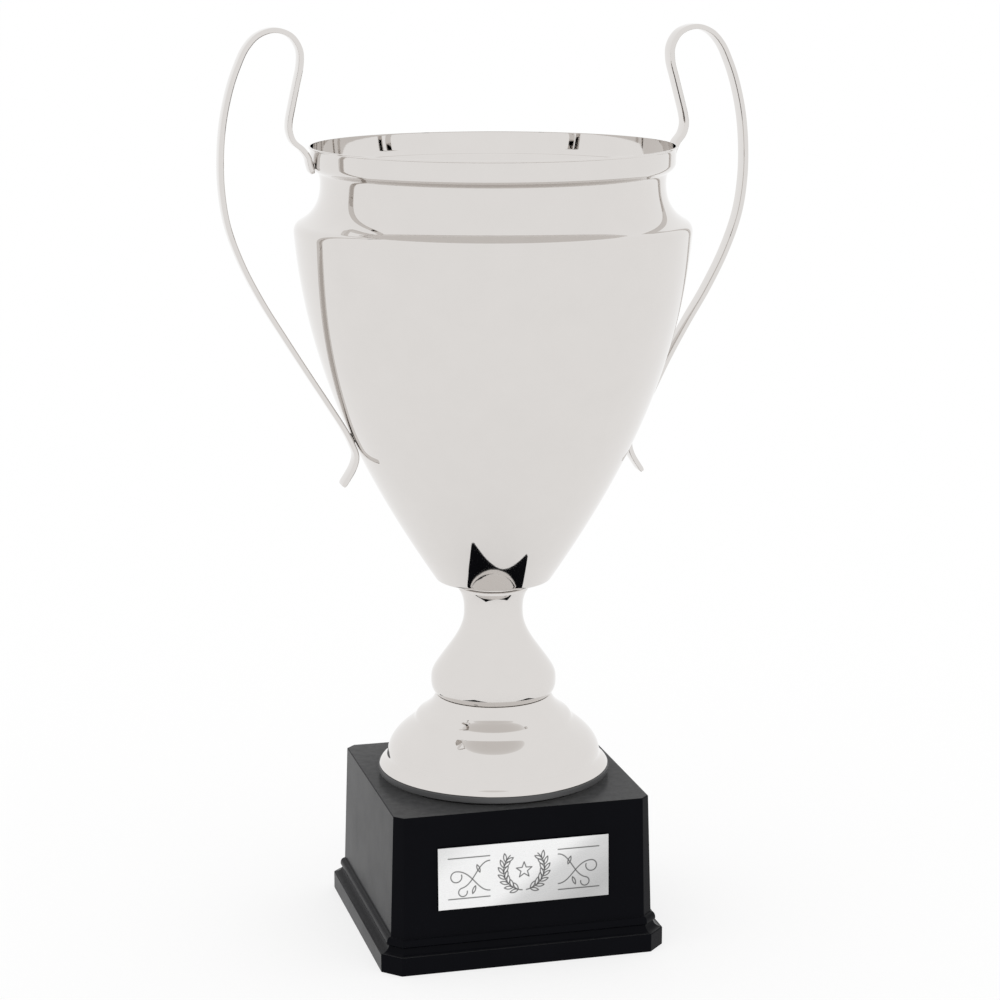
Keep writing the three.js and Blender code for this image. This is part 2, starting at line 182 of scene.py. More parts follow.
def turned(name, outline, seat, slot, stands_for, sides=TURNED_SIDES, sharp=35):
    """A closed outline of (radius, rise) in mm, turned about the cup's axis above `seat`, in metres."""
    mesh = bmesh.new()
    loft(mesh, [circle(r * MM, seat + rise * MM, sides) for r, rise in outline])
    return finished(name, mesh, slot, stands_for, sharp)


def seat_of(node):
    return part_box(node)[0].z


# ---- The cup ----

BEAD = 0.6  # mm, radius of the small bead turned outwards round the mouth


def bowl():
    """The bowl's skin in mm above its base: wall, shoulder, neck, upright band and beaded edge.

    The band's inside leans outwards, so that it mirrors the sky and not the dark of the cup.
    """
    foot, shoulder, neck = (29.7, 1.6), (97.9, 175.6), (84.7, 200.1)
    shoulder_top, under_band, band = (95.5, 181.1), (86.3, 205.7), (89.3, 209.9)
    height = (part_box("bowl")[1].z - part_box("bowl")[0].z) / MM
    bead = (89.4, height - BEAD)
    under_bead = (89.45, height - 2 * BEAD - 0.1)
    outer = joined(
        [(ROD_HOLE, 0), (26.5, 0)],
        corner(6, (26.5, 0), (28.9, 0), foot),
        bezier(90, foot, (71.3, 63.5), (92.8, 115.6), shoulder),
        corner(10, shoulder, (98.2, 179.4), shoulder_top),
        bezier(24, shoulder_top, (89.4, 184.5), (84.7, 189.6), neck),
        corner(8, neck, (84.7, 204.8), under_band),
        corner(10, under_band, (89.2, 207.5), band),
        [under_bead],
    )
    fine = densified(outer, 1.5)
    inside = [p for p in inner_skin(fine, SHEET) if p[1] < band[1]]
    mouth = [(89.15, height - 0.3), (88.85, height - 3.2)]
    outline = joined(fine, arc(14, bead, BEAD, -80, 115), mouth, inside[::-1])
    return turned("cup_bowl", outline, seat_of("bowl"), "polished_silver", ["bowl"])


def stem():
    """The hollow stem: a bulb that draws in to a waist and flares under the bowl."""
    bulb, slope, waist, top = (31.8, 6.8), (21.9, 25.4), (14.9, 43.1), (17.7, 54.4)
    rise = 55.8
    outer = joined(
        [(ROD_HOLE, 0), (28.6, 0)],
        bezier(16, (29, 0), (30.6, 1), (31.8, 3.2), bulb),
        bezier(26, bulb, (31.8, 12.2), (31.1, 12.8), slope),
        bezier(24, slope, (16, 33.6), (14.9, 38.5), waist),
        bezier(16, waist, (14.9, 47), (15.1, 50.4), top),
        corner(3, top, (17.7, rise), (17.2, rise)),
        [(ROD_HOLE, rise)],
    )
    return turned("cup_stem", shell(outer), seat_of("stem"), "polished_silver", ["stem"])


def stem_collar():
    low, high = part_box("stem_collar")
    rise = (high.z - low.z) / MM
    outline = joined(
        [(ROD_HOLE, 0), (16, 0)], corner(4, (16, 0), (16.4, 0), (16.4, 0.4)),
        corner(4, (16.4, rise - 0.4), (16.4, rise), (16, rise)), [(ROD_HOLE, rise)],
    )
    return turned("cup_collar", outline, low.z, "polished_silver", ["stem_collar"])


def foot():
    """The foot: a wide dome over a lip that turns outwards, a small dome on it and a short neck."""
    waist, step, brow, seat, neck = (54.3, 5.6), (41.4, 23.1), (40, 24.9), (38, 27.5), (33.6, 30.8)
    rise = 37.3
    outer = joined(
        [(58.3, 0)],
        corner(3, (58.3, 0), (58.5, 0), (58.5, 0.4)),
        bezier(14, (58.5, 0.4), (57.4, 2.5), (54.5, 3.2), waist),
        bezier(36, waist, (54.3, 14.5), (45.4, 20.1), step),
        bezier(6, step, (40.7, 23.6), (40.3, 24.1), brow),
        bezier(10, brow, (39.7, 25.7), (39.2, 26.6), seat),
        bezier(12, seat, (36.7, 28.4), (35.1, 29.4), neck),
        bezier(16, neck, (31.6, 32.4), (30.4, 34.4), (29.5, 36.9)),
        corner(3, (29.5, 36.9), (29.4, rise), (29, rise)),
        [(ROD_HOLE, rise)],
    )
    return turned("cup_foot", shell(outer), seat_of("foot"), "polished_silver", ["foot"])


# ---- Handles ----

HANDLE_WIDTH = 9.5     # mm
HANDLE_THICK = 2.5
HANDLE_EDGE = 0.7
HANDLE_STEP = 0.8
LEFT_SPREAD = 2.4
RIGHT_SPREAD = -2.4
# Distance from the cup's axis and height in mm; the third number is the share of the spread.
HANDLE_ROUTE = [
    (90.1, 387.2, 0), (91.3, 391.2, 0), (92, 394.6, 0), (94.2, 398.5, 0.2), (97.9, 402.5, 0.5),
    (99.4, 407.2, 0.6), (99.2, 411.6, 0.7), (97.4, 419.5, 0.8), (94.9, 429.5, 0.9), (92.7, 439, 1),
    (93, 446, 1), (97.2, 452.4, 1), (105, 455, 1), (112.8, 452.6, 1), (118.5, 446.8, 1), (122.9, 438, 1),
    (126.5, 428, 1), (130, 413, 1), (131.7, 397, 1), (131.6, 380, 1), (129, 362.5, 1),
    (122.5, 344, 1), (113.2, 325.5, 1), (103, 308.5, 1), (92.4, 290.6, 0.8), (82.2, 272.5, 0.3),
    (75.8, 260.8, 0), (72.1, 253.2, 0), (70.4, 247.8, 0), (71.6, 242.4, 0), (77.2, 233, 0),
]


def through(points, steps=24):
    """A smooth line through points in the plane: a centripetal Catmull-Rom curve."""
    points = [np.array(p, float) for p in points]
    ends = [2 * points[0] - points[1], *points, 2 * points[-1] - points[-2]]
    line = [points[0]]
    for a, b, c, d in zip(ends, ends[1:], ends[2:], ends[3:]):
        gaps = [math.sqrt(math.dist(*pair)) for pair in ((a, b), (b, c), (c, d))]
        leave = ((b - a) / gaps[0] - (c - a) / (gaps[0] + gaps[1]) + (c - b) / gaps[1]) * gaps[1]
        reach = ((c - b) / gaps[1] - (d - b) / (gaps[1] + gaps[2]) + (d - c) / gaps[2]) * gaps[1]
        for i in range(1, steps + 1):
            t = i / steps
            line.append((2 * t ** 3 - 3 * t * t + 1) * b + (t ** 3 - 2 * t * t + t) * leave
                        + (3 * t * t - 2 * t ** 3) * c + (t ** 3 - t * t) * reach)
    return np.array(line)


def evenly(line, step):
    """The line again, with its points `step` apart."""
    lengths = np.concatenate([[0], np.cumsum(np.linalg.norm(np.diff(line, axis=0), axis=1))])
    places = np.linspace(0, lengths[-1], round(lengths[-1] / step) + 1)
    return np.stack([np.interp(places, lengths, line[:, k]) for k in (0, 1)], axis=1)


def bar_section(shrink):
    """The flat bar's outline, (across, through) in mm, made smaller all round by `shrink`."""
    half_wide, half_thick = HANDLE_WIDTH / 2 - shrink, HANDLE_THICK / 2 - shrink
    edge = max(HANDLE_EDGE - shrink, 0.15)
    outline = []
    for turn, (x, y) in enumerate([(1, 1), (-1, 1), (-1, -1), (1, -1)]):
        centre = (x * (half_wide - edge), y * (half_thick - edge))
        outline += arc(5, centre, edge, 90 * turn, 90 * turn + 90)
    return outline


def handle(name, node, side, spread):
    """A flat bar swept along its route in the plane of the cup's axis."""
    route = [(side * (radius + spread * share), height) for radius, height, share in HANDLE_ROUTE]
    line = evenly(through(route), HANDLE_STEP)
    along = np.gradient(line, axis=0)
    along /= np.linalg.norm(along, axis=1)[:, None]
    rings = []
    for i, (place, way) in enumerate(zip(line, along)):
        from_end = min(i, len(line) - 1 - i)
        shrink = (0.45, 0.1)[from_end] if from_end < 2 else 0
        rings.append([
            ((place[0] - way[1] * through_bar) * MM, across * MM, (place[1] + way[0] * through_bar) * MM)
            for across, through_bar in bar_section(shrink)
        ])
    mesh = bmesh.new()
    loft(mesh, rings, closed=False, capped=True)
    return finished(name, mesh, "polished_silver", [node])


# ---- Plinth ----

PLINTH_WIDTH = 134.2   # mm, across the block where it meets the bead
PLINTH_DEPTH = 126.2
PLINTH_CHAMFER = 5.4
PLINTH_WALL = 3
BAND_OUT = 5.5         # how far the band at the foot stands out of the block
BLOCK_DRAFT = 1.9
EDGE_ROUND = 0.5


def plinth_outline(out, height, edge=EDGE_ROUND, steps=4):
    """The plinth's chamfered outline with softly rounded corners, moved out by `out` mm."""
    x, y = PLINTH_WIDTH / 2 + out, PLINTH_DEPTH / 2 + out
    c = PLINTH_CHAMFER + (2 - math.sqrt(2)) * out
    right = [(x - c, -y), (x, -y + c), (x, y - c), (x - c, y)]
    corners = right + [(-px, py) for px, py in right[::-1]]
    reach = edge * math.tan(math.radians(22.5))
    ring = []
    for i, here in enumerate(corners):
        before, after = corners[i - 1], corners[(i + 1) % len(corners)]
        start = [h + (b - h) * reach / math.dist(here, before) for h, b in zip(here, before)]
        end = [h + (a - h) * reach / math.dist(here, after) for h, a in zip(here, after)]
        ring += [(px * MM, py * MM, height * MM) for px, py in corner(steps, start, here, end)]
    return ring


def rod_ring(height):
    """The edge of the tie rod's hole, with as many points as the plinth's outline."""
    ring = []
    for x, y, _ in plinth_outline(0, 0):
        size = ROD_HOLE * MM / math.hypot(x, y)
        ring.append((x * size, y * size, height * MM))
    return ring


def plinth():
    """A hollow moulding: band, cove, bead and drafted block outside, wall and rebate inside."""
    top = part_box("plinth")[1].z / MM
    outside = joined(
        corner(3, (0, BAND_OUT - 0.4), (0, BAND_OUT), (0.4, BAND_OUT)),
        corner(3, (8.7, BAND_OUT), (9.15, BAND_OUT), (9.4, BAND_OUT - 0.3)),
        arc(14, (13.6, BAND_OUT - 0.3), 4.2, 180, 180 + 78)[1:],
    )
    cove_top = outside[-1]
    outside = joined(
        outside,
        [(cove_top[0] + 0.15, cove_top[1] + 0.12)],
        corner(3, (13.3, 1.75), (13.35, 2.1), (13.7, 2.2)),
        bezier(10, (13.7, 2.2), (15.4, 2.3), (16.9, 1.9), (17.2, 0.35)),
        corner(3, (17.25, 0.2), (17.3, 0), (17.6, -0.02)),
        corner(4, (top - 0.6, -BLOCK_DRAFT + 0.02), (top, -BLOCK_DRAFT), (top, -BLOCK_DRAFT - 0.6)),
    )
    rings = [plinth_outline(out, height) for height, out in outside]
    rings += [rod_ring(top), rod_ring(top - PLINTH_WALL)]
    rebate = BAND_OUT - PLINTH_WALL
    inside = [
        (top - PLINTH_WALL, -PLINTH_WALL - BLOCK_DRAFT), (5.2, -PLINTH_WALL), (5.2, rebate), (0, rebate),
    ]
    rings += [plinth_outline(out, height) for height, out in inside]
    mesh = bmesh.new()
    loft(mesh, rings)
    piece = finished("plinth_block", mesh, "black_plastic", ["plinth"], sharp=30)
    even = piece.modifiers.new("flat_faces", "WEIGHTED_NORMAL")
    even.keep_sharp = True
    even.weight = 100
    return piece


def riser():
    """The disc under the foot, undercut so that a dark line shows below it."""
    low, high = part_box("riser_disc")
    rise, radius, seat_radius = (high.z - low.z) / MM, high.x / MM, 54.5
    outline = joined(
        [(ROD_HOLE, 0), (seat_radius, 0)],
        [(radius - 2.2, 1.5)],
        corner(4, (radius - 0.5, 2.1), (radius, 2.2), (radius, 2.7)),
        corner(4, (radius, rise - 0.5), (radius, rise), (radius - 0.5, rise)),
        [(ROD_HOLE, rise)],
    )
    return turned("riser", outline, low.z, "riser_plastic", ["riser_disc"])


# ---- Engraving plate ----

GROOVE_WIDTH = 0.5     # mm, half the width of an engraved line
GROOVE_DEPTH = 0.12
PLATE_CELL = 0.2
PLATE_BEVEL = 0.15


def leaf(root, angle, length, width):
    """A pointed leaf as a closed line."""
    tip = (root[0] + length * math.cos(angle), root[1] + length * math.sin(angle))
    side = (-math.sin(angle) * width, math.cos(angle) * width)
    middle = ((root[0] + tip[0]) / 2, (root[1] + tip[1]) / 2)
    out = corner(8, root, (middle[0] + side[0], middle[1] + side[1]), tip)
    back = corner(8, tip, (middle[0] - side[0], middle[1] - side[1]), root)
    return joined(out, back)


def laurel():
    """Two sprigs that curve up round the middle of the plate."""
    lines = []
    for side in (-1, 1):
        stem_line = [(side * x, y) for x, y in arc(24, (0, 1.5), 10.5, -84, 48)]
        lines.append(stem_line)
        for i in range(2, 23, 3):
            here, ahead = stem_line[i], stem_line[i + 1]
            way = math.atan2(ahead[1] - here[1], ahead[0] - here[0])
            for turn in (-0.62, 0.62):
                lines.append(leaf(here, way + turn, 4.4, 1.5))
    return lines


def star(points=5, outer=4.2, inner=1.75, centre=(0, 1.2)):
    ring = []
    for i in range(2 * points + 1):
        radius = inner if i % 2 else outer
        angle = math.pi / 2 + math.pi * i / points
        ring.append((centre[0] + radius * math.cos(angle), centre[1] + radius * math.sin(angle)))
    return [ring]


def flourish():
    """Scrolls and fine rules on both sides of the laurel."""
    lines = []
    for side in (-1, 1):
        def place(run):
            return [(side * x, y) for x, y in run]
        lines.append(place(bezier(20, (17.5, -7.5), (24, -7.5), (26.5, 3.4), (34.5, 3.4))))
        lines.append(place(arc(22, (34.5, 0.6), 2.8, 90, -200)))
        lines.append(place(bezier(20, (17.5, 7.8), (23.5, 7.8), (25.5, -3.8), (31.5, -5.2))))
        lines.append(place(arc(22, (31.2, -7.4), 2.2, 82, -190)))
        lines.append(place([(17.5, 10.2), (38.5, 10.2)]))
        lines.append(place([(17.5, -10.6), (38.5, -10.6)]))
        lines.append(place(leaf((22.5, 2.2), 1.2, 4.2, 1.3)))
        lines.append(place(leaf((24.8, -4.6), -1.2, 4.2, 1.3)))
    return lines


def engraved_depth(across, up):
    """How deep the engraving is at each point of the plate, from 0 to 1."""
    nearest = np.full(across.shape, 1e9)
    for line in laurel() + star() + flourish():
        for a, b in zip(line, line[1:]):
            way = (b[0] - a[0], b[1] - a[1])
            share = ((across - a[0]) * way[0] + (up - a[1]) * way[1]) / (way[0] ** 2 + way[1] ** 2 + 1e-12)
            share = np.clip(share, 0, 1)
            gap = np.hypot(across - a[0] - share * way[0], up - a[1] - share * way[1])
            nearest = np.minimum(nearest, gap)
    depth = np.clip(1 - nearest / GROOVE_WIDTH, 0, 1)
    return depth * depth * (3 - 2 * depth)


def engraving_plate():
    """The plate with its ornament cut into the front, leaning with the plinth's face."""
    low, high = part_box("engraving_plate")
    centre = (low + high) / 2
    width = (high.x - low.x) / MM
    lean = math.atan(BLOCK_DRAFT / 61.2)
    thick = 0.8
    height = ((high.z - low.z) / MM - thick * math.sin(lean)) / math.cos(lean)
    columns = round((width - 2 * PLATE_BEVEL) / PLATE_CELL)
    rows = round((height - 2 * PLATE_BEVEL) / PLATE_CELL)
    xs = np.linspace(-width / 2 + PLATE_BEVEL, width / 2 - PLATE_BEVEL, columns + 1)
    zs = np.linspace(-height / 2 + PLATE_BEVEL, height / 2 - PLATE_BEVEL, rows + 1)
    across, up = np.meshgrid(xs, zs, indexing="ij")
    depth = engraved_depth(across, up)

    def placed(x, y, z):
        """From the plate's own plane, y out of the front, to the leaning place on the plinth."""
        return (centre.x + x * MM, centre.y + (-y * math.cos(lean) + z * math.sin(lean)) * MM,
                centre.z + (z * math.cos(lean) + y * math.sin(lean)) * MM)

    mesh = bmesh.new()
    cut = mesh.verts.layers.float.new("engraving")
    grid = []
    for x, column in zip(xs, depth):
        grid.append([])
        for z, deep in zip(zs, column):
            vertex = mesh.verts.new(placed(x, thick / 2 - GROOVE_DEPTH * deep, z))
            vertex[cut] = deep
            grid[-1].append(vertex)
    for a, b in zip(grid, grid[1:]):
        for j in range(rows):
            mesh.faces.new((a[j], b[j], b[j + 1], a[j + 1]))
    edge = [c[0] for c in grid] + grid[-1][1:] + [c[-1] for c in grid[-2::-1]] + grid[0][-2:0:-1]
    places = [(x, zs[0]) for x in xs] + [(xs[-1], z) for z in zs[1:]]
    places += [(x, zs[-1]) for x in xs[-2::-1]] + [(xs[0], z) for z in zs[-2:0:-1]]
    grow = (1 + 2 * PLATE_BEVEL / (width - 2 * PLATE_BEVEL), 1 + 2 * PLATE_BEVEL / (height - 2 * PLATE_BEVEL))
    for y in (thick / 2 - PLATE_BEVEL, -thick / 2):
        outer = [mesh.verts.new(placed(x * grow[0], y, z * grow[1])) for x, z in places]
        for i in range(len(edge)):
            j = (i + 1) % len(edge)
            mesh.faces.new((edge[i], outer[i], outer[j], edge[j]))
        edge = outer
    mesh.faces.new(edge[::-1])
    return finished("engraved_plate", mesh, "plate_silver", ["engraving_plate"], sharp=40)


# ---- Rod and fastenings that show inside the cup ----

def tie_rod():
    """The rod: plain in the middle, with a rolled thread at both ends."""
    low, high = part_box("tie_rod")
    radius, pitch, depth, sides = high.x, 1 * MM, 0.3 * MM, 24
    top_thread, base_thread = high.z - 14 * MM, low.z + 26 * MM
    levels = [low.z + 0.3 * MM]
    while levels[-1] < high.z - 0.3 * MM:
        threaded = levels[-1] < base_thread or levels[-1] >= top_thread
        levels.append(min(levels[-1] + (pitch / 6 if threaded else 4 * MM), high.z - 0.3 * MM))
    rings = [circle(radius - 2 * depth, low.z, sides)]
    for z in levels:
        threaded = z < base_thread or z > top_thread
        ring = []
        for i in range(sides):
            wave = abs(((z / pitch - i / sides) % 1) * 2 - 1)
            r = radius - depth * (wave if threaded else 0.5)
            angle = 2 * math.pi * i / sides
            ring.append((r * math.cos(angle), r * math.sin(angle), z))
        rings.append(ring)
    rings.append(circle(radius - 2 * depth, high.z, sides))
    mesh = bmesh.new()
    loft(mesh, rings, closed=False, capped=True)
    return finished("threaded_rod", mesh, "zinc_steel", ["tie_rod"], sharp=50)


def hex_nut(name, node):
    """A hexagon nut whose corners are cut back by a cone at both ends."""
    low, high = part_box(node)
    flats = (high.y - low.y) / 2
    bore, chamfer_start, slope = 3.15 * MM, flats * 0.96, math.tan(math.radians(28))
    sides, steps = 96, 8

    def hexagon(i):
        return flats / math.cos((2 * math.pi * i / sides) % (math.pi / 3) - math.pi / 6)

    def face(share, upward):
        ring = []
        for i in range(sides):
            radius = bore + (hexagon(i) - bore) * share
            drop = max(0, radius - chamfer_start) * slope
            angle = 2 * math.pi * i / sides + math.pi / 6 + math.pi / 3
            z = high.z - drop if upward else low.z + drop
            ring.append((radius * math.cos(angle), radius * math.sin(angle), z))
        return ring

    shares = [k / steps for k in range(steps + 1)]
    rings = [face(share, True) for share in shares] + [face(share, False) for share in shares[::-1]]
    mesh = bmesh.new()
    loft(mesh, rings)
    return finished(name, mesh, "zinc_steel", [node], sharp=20)


def flat_washer(name, node, slot):
    """A stamped washer: one edge rounded by the die, the other nearly square."""
    low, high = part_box(node)
    rise, radius, bore = (high.z - low.z) / MM, high.x / MM, 3.3
    outline = joined(
        [(bore, 0.1), (bore + 0.1, 0), (radius - 0.1, 0), (radius, 0.1)],
        corner(4, (radius, rise - 0.4), (radius, rise), (radius - 0.4, rise)),
        corner(3, (bore + 0.2, rise), (bore, rise), (bore, rise - 0.2)),
    )
    return turned(name, outline, low.z, slot, [node], sides=SMALL_SIDES)


# Distance from the cup's axis, height, half width, half height and half thickness in mm, lean in degrees.
RIM_SOLDER = (89.25, 390.7, 3.8, 2.2, 0.7, 5)
WALL_SOLDER = (72.05, 256.5, 3.6, 2.8, 0.75, 24.5)


def solder(name, side, radius, height, half_wide, half_high, half_thick, lean):
    """A lens of solder between a handle and the bowl. The lean is from upright, away from the axis."""
    mesh = bmesh.new()
    rings = []
    turn = math.radians(side * lean)
    for k in range(1, 12):
        polar = math.pi * k / 12
        ring = []
        for i in range(32):
            angle = 2 * math.pi * i / 32
            x = half_thick * math.sin(polar) * math.cos(angle)
            y = half_wide * math.sin(polar) * math.sin(angle)
            z = half_high * math.cos(polar)
            ring.append(((side * radius + x * math.cos(turn) + z * math.sin(turn)) * MM, y * MM,
                         (height - x * math.sin(turn) + z * math.cos(turn)) * MM))
        rings.append(ring)
    loft(mesh, rings, closed=False, capped=True)
    return finished(name, mesh, "polished_silver", sharp=60)


# ---- Materials ----

def build(material, kind, inputs=None, **settings):
    """Adds a node, sets its properties and fills or links its inputs."""
    node = material.node_tree.nodes.new(kind)
    for key, value in settings.items():
        setattr(node, key, value)
    for key, value in (inputs or {}).items():
        if isinstance(value, bpy.types.NodeSocket):
            material.node_tree.links.new(value, node.inputs[key])
        else:
            node.inputs[key].default_value = value
    return node


def new_material(name, color, roughness, **more):
    """A Principled material. Other sockets are given with underscores for spaces."""
    material = bpy.data.materials.new(name)
    material.use_nodes = True
    shader = material.node_tree.nodes["Principled BSDF"]
    shader.inputs["Base Color"].default_value = (*color, 1)
    shader.inputs["Roughness"].default_value = roughness
    for key, value in more.items():
        shader.inputs[key.replace("_", " ")].default_value = value
    return material, shader


def object_place(material, scale=(1, 1, 1)):
    """Object coordinates, stretched: x, y and z times scale."""
    place = build(material, "ShaderNodeTexCoord")
    inputs = {"Vector": place.outputs["Object"], "Scale": scale}
    return build(material, "ShaderNodeMapping", inputs).outputs[0]


def noise(material, place, scale, detail=3, rough=0.5):
    inputs = {"Vector": place, "Scale": scale, "Detail": detail, "Roughness": rough}
    return build(material, "ShaderNodeTexNoise", inputs).outputs["Fac"]


def ranged(material, value, source, target):
    """Maps a value from one range onto another, and holds it at the ends."""
    ends = {"From Min": source[0], "From Max": source[1], "To Min": target[0], "To Max": target[1]}
    return build(material, "ShaderNodeMapRange", {"Value": value, **ends}).outputs["Result"]


def spread(material, value, low, high):
    """Maps a noise value, which mostly lies between 0.3 and 0.7, onto a range."""
    return ranged(material, value, (0.3, 0.7), (low, high))


def mixed(material, share, a, b):
    """A colour between a and b."""
    mix = build(material, "ShaderNodeMix", data_type="RGBA")
    material.node_tree.links.new(share, mix.inputs["Factor"])
    mix.inputs[6].default_value = (*a, 1)
    mix.inputs[7].default_value = (*b, 1)
    return mix.outputs[2]


def bump(material, shader, height, strength, distance):
    """Small relief from a height value; the distance is in metres."""
    inputs = {"Height": height, "Strength": strength, "Distance": distance}
    relief = build(material, "ShaderNodeBump", inputs)
    material.node_tree.links.new(relief.outputs["Normal"], shader.inputs["Normal"])


def wire(material, output, shader, socket):
    material.node_tree.links.new(output, shader.inputs[socket])


def polished_silver():
    """Mirror-polished plate: faint spinning lines, soft waves in the sheet, slight warmth here and there."""
    material, shader = new_material("polished_silver", (0.71, 0.685, 0.665), 0.03, Metallic=1)
    lines = noise(material, object_place(material, (0.05, 0.05, 1)), 2600, 2)
    waves = noise(material, object_place(material, (0.5, 0.5, 1)), 38, 2)
    haze = noise(material, object_place(material), 60, 5, 0.6)
    wire(material, mixed(material, haze, (0.695, 0.672, 0.652), (0.725, 0.7, 0.68)), shader, "Base Color")
    wire(material, spread(material, haze, 0.015, 0.045), shader, "Roughness")
    both = build(material, "ShaderNodeMath", {0: lines, 1: 0.02}, operation="MULTIPLY").outputs[0]
    relief = build(material, "ShaderNodeMath", {0: both, 1: waves}, operation="ADD").outputs[0]
    bump(material, shader, relief, 0.12, 0.0004)
    return material


def black_plastic():
    """Polished moulded plastic: orange peel, handling haze, and painted light on what faces upwards: a sheen,
    broken by a patchy dust grain, and a lower IOR that dims the reflections, which together set the top's
    tone as light from above would.
    """
    material, shader = new_material("black_plastic", (0.0022, 0.0024, 0.0038), 0.2, Sheen_Roughness=0.3)
    haze = noise(material, object_place(material), 28, 6, 0.65)
    dust = noise(material, object_place(material), 240, 6, 0.7)
    peel = noise(material, object_place(material), 900, 2)
    facing = build(material, "ShaderNodeTexCoord").outputs["Normal"]
    upward = build(material, "ShaderNodeSeparateXYZ", {0: facing}).outputs["Z"]
    # Painted light: a sheen on the faces that look upwards makes the top lighter, as light from above would;
    # the dust grain only breaks it into patches.
    top_sheen = ranged(material, upward, (0.6, 1), (0, 0.75))
    patchy = spread(material, dust, 0.8, 1.2)
    dust_and_top_sheen = build(material, "ShaderNodeMath", {0: top_sheen, 1: patchy}, operation="MULTIPLY")
    depth = mixed(material, haze, (0.0022, 0.0023, 0.0034), (0.0036, 0.0038, 0.0055))
    wire(material, depth, shader, "Base Color")
    wire(material, spread(material, haze, 0.16, 0.26), shader, "Roughness")
    # Painted shade: the faces that look upwards get a lower IOR, which dims their reflections.
    wire(material, ranged(material, upward, (0.6, 1), (1.11, 1.08)), shader, "IOR")
    wire(material, dust_and_top_sheen.outputs[0], shader, "Sheen Weight")
    bump(material, shader, peel, 0.1, 0.00006)
    return material


def riser_plastic():
    """The riser's own satin plastic, a shade lighter than the plinth."""
    material, shader = new_material("riser_plastic", (0.088, 0.088, 0.09), 0.4, IOR=1.2)
    haze = noise(material, object_place(material), 45, 6, 0.65)
    peel = noise(material, object_place(material), 1100, 2)
    wire(material, mixed(material, haze, (0.08, 0.08, 0.082), (0.096, 0.096, 0.097)), shader, "Base Color")
    wire(material, spread(material, haze, 0.34, 0.48), shader, "Roughness")
    bump(material, shader, peel, 0.1, 0.00006)
    return material


def plate_silver():
    """Satin plate: fine level brushing, a slanting sheen painted into the base colour as a painted
    reflection, and dark matt metal where the engraving cuts it.
    """
    material, shader = new_material("plate_silver", (0.8, 0.8, 0.8), 0.28, Metallic=1)
    brushing = noise(material, object_place(material, (0.03, 1, 1)), 4200, 3)
    engraved = build(material, "ShaderNodeAttribute", attribute_name="engraving").outputs["Fac"]
    # Painted reflection: the base colour is graded along a slant, lightest between the upper left and the
    # middle and darkest towards the lower right.
    place = build(material, "ShaderNodeSeparateXYZ", {0: object_place(material, (0.563, 1, 0.826))})
    across, up = place.outputs["X"], place.outputs["Z"]
    slant = build(material, "ShaderNodeMath", {0: across, 1: up}, operation="SUBTRACT")
    upper_left, lower_right = -0.0789, 0.0011
    share = ranged(material, slant.outputs[0], (upper_left, lower_right), (0, 1))
    sheen = build(material, "ShaderNodeValToRGB", {"Fac": share})
    sheen.color_ramp.interpolation = "EASE"
    stops = [(0.02, 0.74), (0.24, 0.9), (0.5, 0.9), (0.66, 0.64), (0.87, 0.51), (0.98, 0.54)]
    ramp = sheen.color_ramp.elements
    ramp[0].position, ramp[1].position = stops[0][0], stops[-1][0]
    for position, _ in stops[1:-1]:
        ramp.new(position)
    for stop, (_, tone) in zip(ramp, stops):
        stop.color = (tone, tone, tone, 1)
    inks = {"Factor": engraved, 6: sheen.outputs["Color"], 7: (0.05, 0.05, 0.05, 1)}
    dark = build(material, "ShaderNodeMix", inks, data_type="RGBA")
    wire(material, dark.outputs[2], shader, "Base Color")
    wire(material, spread(material, brushing, 0.24, 0.34), shader, "Roughness")
    bump(material, shader, brushing, 0.15, 0.00003)
    return material


def zinc_steel():
    """Zinc-plated steel with a fine, patchy crystal haze."""
    material, shader = new_material("zinc_steel", (0.62, 0.62, 0.6), 0.3, Metallic=1)
    haze = noise(material, object_place(material), 420, 5, 0.6)
    wire(material, mixed(material, haze, (0.52, 0.52, 0.51), (0.7, 0.7, 0.67)), shader, "Base Color")
    wire(material, spread(material, haze, 0.22, 0.42), shader, "Roughness")
    bump(material, shader, haze, 0.15, 0.00003)
    return material


def raw_steel():
    """Dull rolled plate with mill scale."""
    material, shader = new_material("raw_steel", (0.36, 0.35, 0.34), 0.5, Metallic=1)
    scale = noise(material, object_place(material, (1, 0.15, 1)), 160, 6, 0.7)
    wire(material, mixed(material, scale, (0.24, 0.22, 0.21), (0.44, 0.43, 0.42)), shader, "Base Color")
    wire(material, spread(material, scale, 0.4, 0.65), shader, "Roughness")
    bump(material, shader, scale, 0.2, 0.00005)
    return material


def speckled(name, dark, light, roughness, scale, relief):
    """A matt material of two close colours in fine grain, used for the hidden soft and moulded pieces."""
    material, shader = new_material(name, light, roughness)
    grain = noise(material, object_place(material), scale, 6, 0.7)
    wire(material, mixed(material, grain, dark, light), shader, "Base Color")
    wire(material, spread(material, grain, roughness - 0.06, min(roughness + 0.06, 1)), shader, "Roughness")
    bump(material, shader, grain, 0.5, relief)
    return material


def black_felt():
    """Pressed felt: tangled fibres and a soft sheen at the edges."""
    material, shader = new_material("black_felt", (0.02, 0.02, 0.02), 1, Sheen_Weight=0.4)
    fibres = noise(material, object_place(material, (1, 1, 0.3)), 2400, 8, 0.75)
    tone = mixed(material, fibres, (0.008, 0.008, 0.008), (0.045, 0.045, 0.047))
    wire(material, tone, shader, "Base Color")
    bump(material, shader, fibres, 0.8, 0.0004)
    return material


